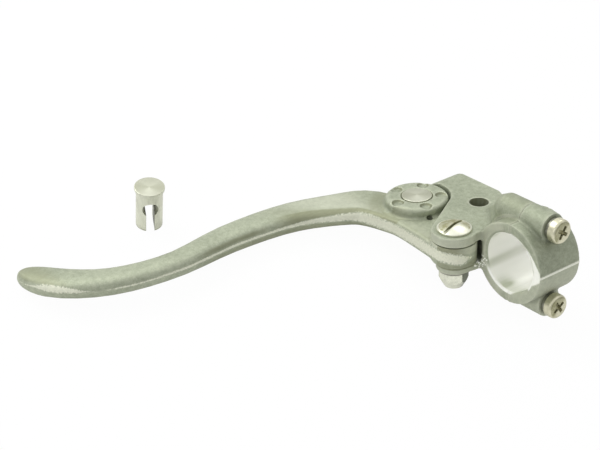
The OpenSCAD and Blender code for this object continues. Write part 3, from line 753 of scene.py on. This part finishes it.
class LeverSkin(Skin):
    """The lever's vertices, placed from its tip, its web's middle, its filed band, its boss and pivot."""

    def __init__(self, mesh):
        super().__init__(mesh)
        self.from_tip = self.x - TIP_X / MM
        self.above = self.z - WEB_MID / MM
        self.middle, self.half, self.solid = (
            np.interp(self.from_tip, BAND[:, 0], column) for column in BAND.T[1:])
        self.over_band = self.above - self.middle - self.half
        self.off_boss = self.away(BOSS_AT)
        self.past_boss = self.off_boss - BOSS_R
        self.off_pivot = self.away(PIVOT_AT)
        self.sides = fade_out(0.75, 0.97, self.level)
        self.flat = smooth_step(0.95, 0.998, self.face_z)

    def mark_band(self):
        """Marks the filed band, the barrel's bored eye and where burrs stand."""
        eye = self.off_boss < BARREL_EYE_R
        band = nearness(self.above, self.middle, 2 * self.half)
        self.mark("flash", band * self.sides * self.solid * ~eye)
        self.mark("bored", eye & (self.level < 0.5))
        line = (np.abs(self.above) < BURRS_HALF) & (np.abs(self.from_tip - BURRS_MIDDLE) < BURRS_RUN)
        self.mark("burr", 0.25 * line * (self.level < 0.6))

    def mark_stains_and_shade(self):
        """Marks the darker places: a streak of painted reflection on the blade, a darker tip, painted
        shade under the band, on the front, in the boss's dimples and on the shoulder, painted shadow
        beside the boss, and the web's rough skin with painted shade.
        """
        rear = self.face_y < 0
        # Dark streak of painted reflection along the blade
        along = smooth_step(0, 0.6, nearness(self.from_tip, *STREAK_ALONG))
        streak = along * smooth_step(0, 0.8, nearness(self.above, *STREAK_UP)) * rear
        tip = 0.9 * fade_out(*TIP_DARKENING, self.from_tip) * smooth_step(0.6, 1.6, self.above - self.middle)
        below_band = smooth_step(0.2, 1.0, self.middle - self.half - self.above)
        under = 0.8 * below_band * smooth_step(*UNDER_SHADE, self.from_tip) * rear
        front = 0.35 * smooth_step(0.2, 0.6, self.face_y) * (self.from_tip < FRONT_END)

        top = self.z[self.off_boss < BOSS_R].max()
        # Painted shade in the boss's dimples
        dimples = (self.off_boss < 0.93 * BOSS_R) & (self.z > top - 1.4) & (self.level < 0.8)
        upward = smooth_step(0.3, 0.8, self.face_z)
        on_web = smooth_step(*WEB_STAIN_AND_SHADE, self.from_tip) * smooth_step(0, 1.5, self.past_boss)
        scored = fade_out(5, 9, self.past_boss) * smooth_step(58, 62, self.y)
        web = upward * on_web * (0.2 + 0.5 * scored)

        # Painted shade on the rounded shoulder above the band, and painted shadow beside the boss
        shoulder = 1.2 * (1 - self.flat) * smooth_step(-0.1, 0.4, self.over_band) * rear
        near = smooth_step(-2, 2, self.about(BOSS_AT, UPRIGHT)[1][:, :2] @ np.array(NEAR_WAY))
        beside = 0.5 * near * upward * smooth_step(1, 3.5, self.past_boss)
        shoulder = np.maximum(shoulder, beside) * plateau(self.from_tip, *SHOULDER_RUN)
        self.mark("stain", np.max((streak, tip, under, front, dimples, web, shoulder), axis=0))

    def mark_painted_light(self):
        """Marks painted light, which makes paler the blade's bend and the tongue's upper half."""
        tongue = (self.off_pivot < TONGUE_R) * self.sides * smooth_step(0.2, 1.0, self.over_band)
        bend = 0.9 * self.flat * plateau(self.from_tip, *BEND_RUN)
        self.mark("pale", np.maximum(bend, tongue))

    def raise_lip(self):
        """Raises the lip round the eye's upper end."""
        lip = plateau(self.off_pivot, *EYE_LIP_RADII)
        self.z += EYE_LIP * lip * (self.z > BUSH_HIGH.z / MM - 0.5)


def finish_lever(mesh):
    """Marks the lever's filed band and its dark and pale places, and raises the lip round its eye."""
    skin = LeverSkin(mesh)
    skin.mark_band()
    skin.mark_stains_and_shade()
    skin.mark_painted_light()
    skin.raise_lip()
    skin.put_back()


def mark_head(mesh, node, axis, dull_sides):
    """Marks painted shade on a screw's head: on its dull sides, and in the recess sunk into it, found by
    its depth below the face round it.
    """
    low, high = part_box(node)
    radius = HEAD_SHARE * (high - low).x / MM
    skin = Skin(mesh)
    along, across = skin.about((low + high) / 2, axis)
    r = np.linalg.norm(across, axis=1)
    ring = (r / HEAD_RING).astype(int)
    face = np.full(ring.max() + 2, -np.inf)
    np.maximum.at(face, ring, along)
    depth = np.maximum(face[ring], face[ring + 1]) - along
    head = (r < radius) & (along > along.max() - HEAD_DEPTH)
    outer = smooth_step(0.3, 0.6, r / radius)
    # Painted shade in the recess sunk into the head
    skin.mark("cut", head * smooth_step(0.15, 0.9, depth) * (1 - 0.6 * outer))
    # Painted shade on the head's dull sides
    shade = np.max([across @ np.array(way) / radius - start for way, start in dull_sides], axis=0)
    skin.mark("soil", head * smooth_step(0, 0.45, shade))


def mark_nut(mesh):
    """Marks painted shade on the nut's dull facet."""
    skin = Skin(mesh)
    skin.mark("cut", 1.3 * smooth_step(0.45, 0.75, skin.normal @ np.array(NUT_DULL_WAY)))


def finish_turned(mesh, centre, axis, crown):
    """Crowns a barrel's end, and marks its faces, the painted shade on its ends, at its foot and in its
    pocket, and the place of each vertex.
    """
    skin = Skin(mesh)
    axis = np.array(axis)
    along, across = skin.about(centre, axis)
    radius = np.linalg.norm(across, axis=1)
    face = smooth_step(0.7, 0.95, np.abs(skin.normal @ axis))
    end = fade_out(crown, 2 * crown, along.max() - along)
    skin.place -= (end * crown * (radius / radius.max()) ** 2)[:, None] * axis
    skin.put_back()
    skin.mark("along", along * MM)
    skin.mark("radius", radius * MM)
    skin.mark("face", face)
    spoke = across / np.maximum(radius, 0.1)[:, None]
    # Painted shade on the dull sectors of the ends, fanning from the middle, and at the foot
    sides = 0.8 * np.clip(spoke @ np.array(ACROSS_WAY), -1, 1) ** 2
    back = 0.4 * smooth_step(-0.8, 0.9, spoke @ np.array(DULL_WAY))
    foot = fade_out(0.2, 0.9, along - along.min())
    skin.mark("soil", np.maximum(face * np.maximum(sides, back), foot))
    # Painted shade in the pocket
    skin.mark("cut", (1 - face) * fade_out(0.4, 0.85, radius / np.median(radius)))


class CLUTCH_OT_castings(bpy.types.Operator):
    """Makes the bracket, the cap and the lever as raw castings."""

    bl_idname = "clutch.castings"
    bl_label = "Castings"

    def execute(self, context):
        sizes, finish = settings().casting, settings().finish
        ring = boss_ring(sizes.boss_fillet, sizes.blade_fillet)
        for node, finish_node, extra, sheen in (("bracket", finish_bracket, None, 0),
                                                ("clamp_cap", finish_cap, None, 0),
                                                ("lever", finish_lever, ring, 1)):
            mesh = soft_copy(node, sizes.step, sizes.fillet, sizes.passes, extra)
            finish_node(mesh)
            mark_edge_highlight_and_corner_shade(mesh, CASTING_BENDS)
            settle(mesh, node + "_casting", node, cast_alloy(node + "_alloy", finish, sheen))
        return {"FINISHED"}


class CLUTCH_OT_screws(bpy.types.Operator):
    """Makes the clamp screws, the pivot screw and its nut, and plates the washers."""

    bl_idname = "clutch.screws"
    bl_label = "Screws and washers"

    def execute(self, context):
        sizes, finish = settings().hardware, settings().finish
        nickel = plated_steel("nickel_plate", finish.nickel, finish.tarnish, roughness=0.36, recess=0.3)
        # Lighter copy of the nickel plate for the pivot screw: partly painted highlight, to broaden the
        # highlight on its dome
        bright = plated_steel("bright_nickel", finish.fettled, finish.tarnish, roughness=0.31)
        pale = plated_steel("nut_plate", finish.fettled, finish.cast_dark, roughness=0.12)
        zinc = plated_steel("zinc_plate", finish.zinc, finish.grime_and_shade, roughness=0.34)
        for node in SCREWS:
            mesh = soft_copy(node, sizes.step, 0, sizes.passes)
            mark_edge_highlight_and_corner_shade(mesh, HARDWARE_BENDS)
            plate = nickel
            if node == "pivot_nut":
                plate = pale
                mark_nut(mesh)
            elif node == "pivot_screw":
                plate = bright
                mark_head(mesh, node, UPRIGHT, PIVOT_DULL)
            else:
                mark_head(mesh, node, REARWARD, CLAMP_DULL)
            settle(mesh, node + "_plated", node, plate)
        for node in WASHERS:
            paint_solid(node, zinc)
        return {"FINISHED"}


class CLUTCH_OT_bushings(bpy.types.Operator):
    """Gives the bush and the thrust washers their bronze."""

    bl_idname = "clutch.bushings"
    bl_label = "Bushings"

    def execute(self, context):
        bronze = sintered_bronze("sintered_bronze", settings().finish.bronze)
        for node in BUSHINGS:
            paint_solid(node, bronze)
        return {"FINISHED"}


class CLUTCH_OT_barrels(bpy.types.Operator):
    """Makes the cable barrel in the boss and the spare one beside the lever."""

    bl_idname = "clutch.barrels"
    bl_label = "Barrels"

    def execute(self, context):
        sizes, finish, stage = settings().hardware, settings().finish, settings().stage
        low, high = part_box("spare_barrel")
        off_table = Vector((-stage.rise_x, -stage.rise_y, 1)).normalized()
        lines = ((BOSS_AT, UPRIGHT), ((low + high) / 2, off_table))
        metal = turned_metal("turned_metal", finish.turned, finish.zinc, finish.stain)
        for node, (centre, axis) in zip(BARRELS, lines):
            mesh = soft_copy(node, sizes.step, 0, sizes.passes)
            mark_edge_highlight_and_corner_shade(mesh, HARDWARE_BENDS)
            finish_turned(mesh, centre, axis, sizes.crown / MM)
            settle(mesh, node + "_turned", node, metal)
        return {"FINISHED"}


def burr_tree(name):
    """Node tree that scatters small burrs where the mesh is marked for them."""
    tree = bpy.data.node_groups.new(name, "GeometryNodeTree")
    inputs = {"Geometry": "Geometry", "Burr": "Float", "Density": "Float", "Seed": "Int",
              "Finish": "Material"}
    for label, kind in inputs.items():
        tree.interface.new_socket(label, in_out="INPUT", socket_type="NodeSocket" + kind)
    tree.interface.new_socket("Geometry", in_out="OUTPUT", socket_type="NodeSocketGeometry")

    def node(kind, values=None, links=None):
        return add_node(tree, kind, values, links)

    given = node("NodeGroupInput")
    burr = node("GeometryNodeInputNamedAttribute", {"data_type": "FLOAT"}, {"Name": "burr"})
    thick = node("ShaderNodeMath", {"operation": "MULTIPLY"}, {0: burr[0], 1: given["Density"]})
    spots = node("GeometryNodeDistributePointsOnFaces", None,
                 {"Mesh": given["Geometry"], "Density": thick[0], "Seed": given["Seed"]})
    ball = node("GeometryNodeMeshIcoSphere", None, {"Radius": 0.5, "Subdivisions": 1})
    shape = node("FunctionNodeRandomValue", {"data_type": "FLOAT_VECTOR"},
                 {0: BURR_LEAST, 1: BURR_MOST, "Seed": given["Seed"]})
    size = node("ShaderNodeVectorMath", {"operation": "SCALE"}, {0: shape[0], "Scale": given["Burr"]})
    chips = node("GeometryNodeInstanceOnPoints", None,
                 {"Points": spots["Points"], "Instance": ball[0], "Rotation": spots["Rotation"],
                  "Scale": size[0]})
    real = node("GeometryNodeRealizeInstances", None, {0: chips[0]})
    done = node("GeometryNodeSetMaterial", None, {0: real[0], "Material": given["Finish"]})
    node("NodeGroupOutput", None, {0: done[0]})
    return tree


class CLUTCH_OT_burrs(bpy.types.Operator):
    """Scatters small burrs along the lever's parting line and at the root of the bracket's lower ear."""

    bl_idname = "clutch.burrs"
    bl_label = "Burrs"

    def execute(self, context):
        sizes, finish = settings().casting, settings().finish
        filed = plated_steel("burr_metal", finish.fettled, finish.cast_light, roughness=0.36, metallic=0.2)
        # White and not metallic, so that the chips stay bright in the shaded gap: painted highlight
        white = plated_steel("chip_metal", finish.machined, finish.cast_light, roughness=0.3, metallic=0.0)
        tree = burr_tree("Burrs")
        for node, burr, metal in (("lever", sizes.burr, filed), ("bracket", sizes.chip, white)):
            values = {"Burr": burr, "Density": sizes.burrs_per_m2, "Seed": sizes.seed, "Finish": metal}
            mesh = self.scatter(context, bpy.data.objects[node + "_casting"].data, tree, values)
            if not mesh.vertices:
                raise RuntimeError(f"no burrs were made on the {node}")
            mesh.name = node + "_burrs"
            burrs = bpy.data.objects.new(node + "_burrs", mesh)
            context.scene.collection.objects.link(burrs)
            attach(burrs, BODY_OF[node])
        return {"FINISHED"}

    def scatter(self, context, casting, tree, values):
        """A plain mesh of the burrs that the tree makes on a copy of a casting."""
        carrier = bpy.data.objects.new("burr_carrier", casting.copy())
        context.scene.collection.objects.link(carrier)
        modifier = carrier.modifiers.new("burrs", "NODES")
        modifier.node_group = tree
        for item in tree.interface.items_tree:
            if item.in_out == "INPUT" and item.name in values:
                modifier[item.identifier] = values[item.name]
        mesh = bpy.data.meshes.new_from_object(carrier.evaluated_get(context.evaluated_depsgraph_get()))
        bpy.data.objects.remove(carrier)
        return mesh


class CLUTCH_OT_stage(bpy.types.Operator):
    """Makes the camera, the pale floor, the lamps and the white room."""

    bl_idname = "clutch.stage"
    bl_label = "Stage"

    def execute(self, context):
        stage, finish = settings().stage, settings().finish
        context.scene.view_settings.view_transform = "Standard"
        self.make_camera(context, stage)
        self.make_floor(context, stage, finish)
        self.make_room(context, stage)
        low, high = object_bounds()
        middle = (low + high) / 2
        for name, way, size, power_field in LAMPS:
            self.make_lamp(context, name, middle + Vector(way), middle, size, getattr(stage, power_field))
        return {"FINISHED"}

    def make_camera(self, context, stage):
        a, e, roll = stage.azimuth, stage.elevation, stage.roll
        back = Vector((math.sin(a) * math.cos(e), -math.cos(a) * math.cos(e), math.sin(e)))
        right = UPRIGHT.cross(back).normalized()
        up = back.cross(right)
        turned_right = right * math.cos(roll) + up * math.sin(roll)
        turned_up = up * math.cos(roll) - right * math.sin(roll)
        camera = bpy.data.cameras.new("photo_camera")
        camera.lens = stage.lens
        camera.sensor_width = SENSOR_WIDTH
        camera.sensor_fit = "HORIZONTAL"
        camera.clip_start = 0.01
        holder = bpy.data.objects.new("photo_camera", camera)
        turn = Matrix((turned_right, turned_up, back)).transposed().to_4x4()
        holder.matrix_world = Matrix.Translation(stage.place) @ turn
        context.scene.collection.objects.link(holder)
        context.scene.camera = holder

    def make_floor(self, context, stage, finish):
        slope = np.array((-stage.rise_x, -stage.rise_y, 1.0))
        lowest = min((read_vectors(solid.data.vertices, "co") @ slope).min()
                     for solid in frame["nodes"].values())
        half = stage.floor_size / 2
        corners = [(x, y, lowest + stage.rise_x * x + stage.rise_y * y)
                   for x, y in ((-half, -half), (half, -half), (half, half), (-half, half))]
        mesh = bpy.data.meshes.new("floor")
        mesh.from_pydata(corners, [], [(0, 1, 2, 3)])
        paint = new_paint("pale_floor")
        matt = paint.node("ShaderNodeBsdfDiffuse", None, {"Color": (*finish.floor, 1)})
        glow = paint.node("ShaderNodeEmission", None, {"Color": WHITE, "Strength": 1.0})
        mesh.materials.append(paint.end(paint.mix_shaders(paint.seen(0.4) * stage.floor_glow, matt, glow)))
        floor = bpy.data.objects.new("floor", mesh)
        context.scene.collection.objects.link(floor)
        floor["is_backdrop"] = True

    def make_room(self, context, stage):
        world = bpy.data.worlds.new("white_room")
        context.scene.world = world
        paint = Paint(world, "ShaderNodeOutputWorld")
        way = paint.node("ShaderNodeTexCoord", output="Generated")
        height = paint.node("ShaderNodeSeparateXYZ", None, {0: way}, output="Z")
        low, high, plain = (
            paint.node("ShaderNodeBackground", None, {"Color": WHITE, "Strength": strength})
            for strength in (stage.horizon, stage.zenith, 1.0))
        room = paint.mix_shaders(height.between(-0.1, 0.9), low, high)
        paint.end(paint.mix_shaders(paint.seen(), room, plain))

    def make_lamp(self, context, name, place, target, size, watts):
        lamp = bpy.data.lights.new(name, "AREA")
        lamp.shape = "DISK"
        lamp.size = size
        lamp.energy = watts
        holder = bpy.data.objects.new(name, lamp)
        aim = (target - place).to_track_quat("-Z", "Y").to_matrix().to_4x4()
        holder.matrix_world = Matrix.Translation(place) @ aim
        context.scene.collection.objects.link(holder)


STEPS = (CLUTCH_OT_stage, CLUTCH_OT_castings, CLUTCH_OT_screws, CLUTCH_OT_bushings,
         CLUTCH_OT_barrels, CLUTCH_OT_burrs)


class CLUTCH_PT_panel(bpy.types.Panel):
    """Lists the steps and their settings."""

    bl_idname = "CLUTCH_PT_panel"
    bl_label = "Clutch Lever"
    bl_space_type = "VIEW_3D"
    bl_region_type = "UI"
    bl_category = "Clutch Lever"

    def draw(self, context):
        for step in STEPS:
            self.layout.operator(step.bl_idname)
        for name in ("casting", "hardware", "finish", "stage"):
            box = self.layout.box()
            box.label(text=name.title())
            group = getattr(context.scene.clutch_lever, name)
            for field in group.__annotations__:
                box.prop(group, field)


CLASSES = (CastingSizes, HardwareSizes, Finishes, StageSettings, ClutchLever, *STEPS, CLUTCH_PT_panel)


def register():
    for made in CLASSES:
        bpy.utils.register_class(made)
    bpy.types.Scene.clutch_lever = PointerProperty(type=ClutchLever)


def unregister():
    del bpy.types.Scene.clutch_lever
    for made in reversed(CLASSES):
        bpy.utils.unregister_class(made)


def main():
    register()
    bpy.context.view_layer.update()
    for step in STEPS:
        group, name = step.bl_idname.split(".")
        getattr(getattr(bpy.ops, group), name)()


if __name__ == "__main__":
    main()
